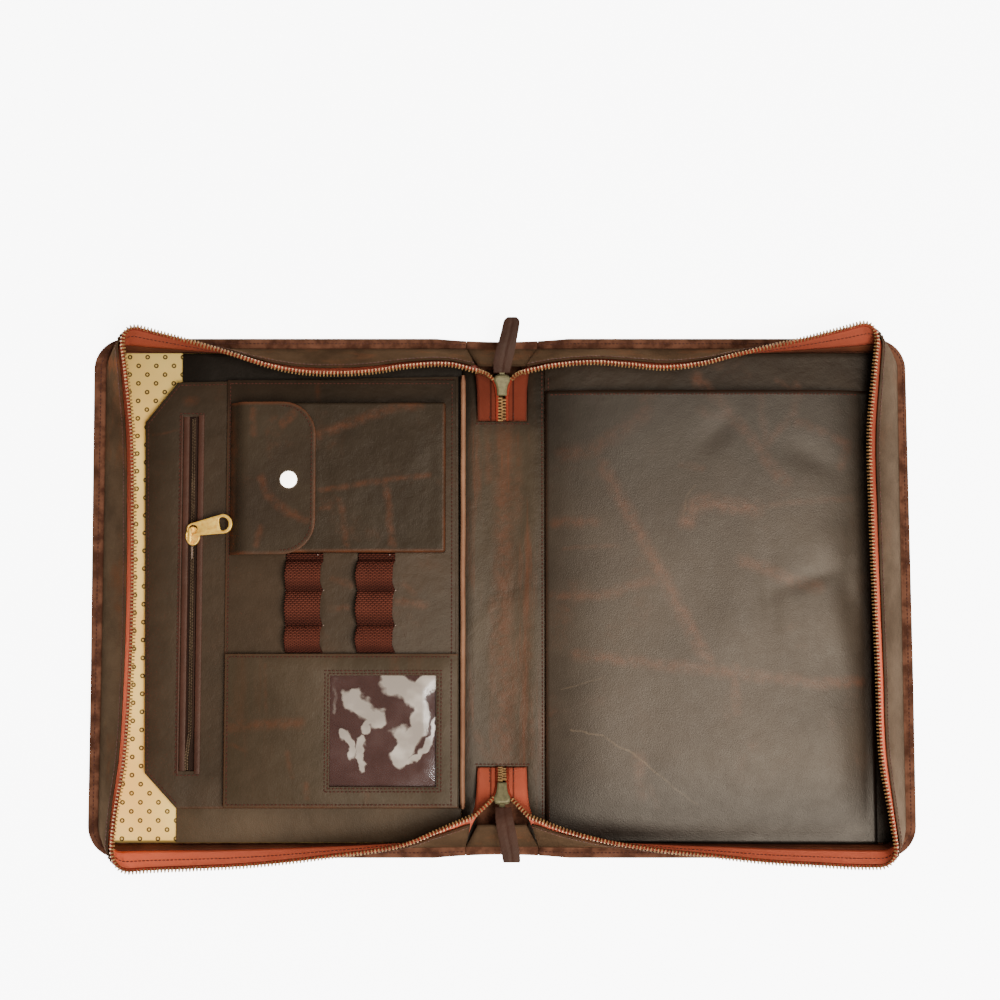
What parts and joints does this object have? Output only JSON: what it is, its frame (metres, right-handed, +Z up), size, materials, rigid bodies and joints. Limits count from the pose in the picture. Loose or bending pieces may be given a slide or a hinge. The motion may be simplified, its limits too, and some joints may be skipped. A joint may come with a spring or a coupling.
{
  "type": "zip-around leather document case",
  "caption": "Open zip-around leather case for papers, with a large pocket, zipped pocket, flap pocket, elastic pen loops and clear card window inside.",
  "frame": {"origin": "on the floor under the middle of the spine of the open case", "axes": "+X across the open covers towards the large pocket, +Y along the spine towards the upper end in the picture, +Z up from the floor"},
  "size_m": [0.542, 0.3623, 0.0338],
  "materials": {
    "shell_leather": "waxed pull-up leather, satin",
    "panel_leather": "waxed pull-up leather, satin",
    "base_leather": "smooth dark leather",
    "binding_leather": "rubbed rolled leather",
    "pull_leather": "soft leather, matte",
    "dotted_cloth": "printed cotton",
    "wall_cloth": "plain lining cloth",
    "zip_tape": "woven tape",
    "zip_teeth": "aged brass teeth",
    "slider_metal": "antique brass, brushed",
    "pocket_tape": "woven tape",
    "pocket_coil": "nylon coil",
    "tag_brass": "satin brass",
    "snap_metal": "bright nickel",
    "elastic": "woven elastic",
    "backing_cloth": "smooth maroon backing",
    "window_film": "clear soft film"
  },
  "bodies": {
    "case": {"spine_panel": "shell_leather", "left_cover": "shell_leather", "right_cover": "shell_leather", "left_gusset": "shell_leather", "right_gusset": "shell_leather", "top_end_gusset": "shell_leather", "bottom_end_gusset": "shell_leather", "left_pocket_panel": "panel_leather", "second_panel": "panel_leather", "flap_pocket": "panel_leather", "flap": "panel_leather", "lower_pocket": "panel_leather", "right_pocket_panel": "panel_leather", "spine_lining": "panel_leather", "left_inner_panel": "base_leather", "right_inner_panel": "base_leather", "edge_roll": "binding_leather", "top_pull": "pull_leather", "bottom_pull": "pull_leather", "left_lining": "dotted_cloth", "left_gusset_lining": "wall_cloth", "right_gusset_lining": "wall_cloth", "left_zip_tape": "zip_tape", "right_zip_tape": "zip_tape", "left_zip_teeth": "zip_teeth", "right_zip_teeth": "zip_teeth", "top_zip_chain": "zip_teeth", "bottom_zip_chain": "zip_teeth", "top_slider": "slider_metal", "bottom_slider": "slider_metal", "pocket_zip_tape": "pocket_tape", "pocket_zip_coil": "pocket_coil", "pocket_slider": "tag_brass", "snap_cap": "snap_metal", "left_pen_loops": "elastic", "right_pen_loops": "elastic", "window_backing": "backing_cloth", "window_film": "window_film"},
    "pull": {"zip_pull": "tag_brass"}
  },
  "joints": [
    {"name": "pull_swing", "type": "hinge", "parent": "case", "child": "pull", "pos_m": [-0.2054, 0.04285, 0.01105], "axis": [0, 0, 1], "range_deg": [-35, 160]}
  ]
}
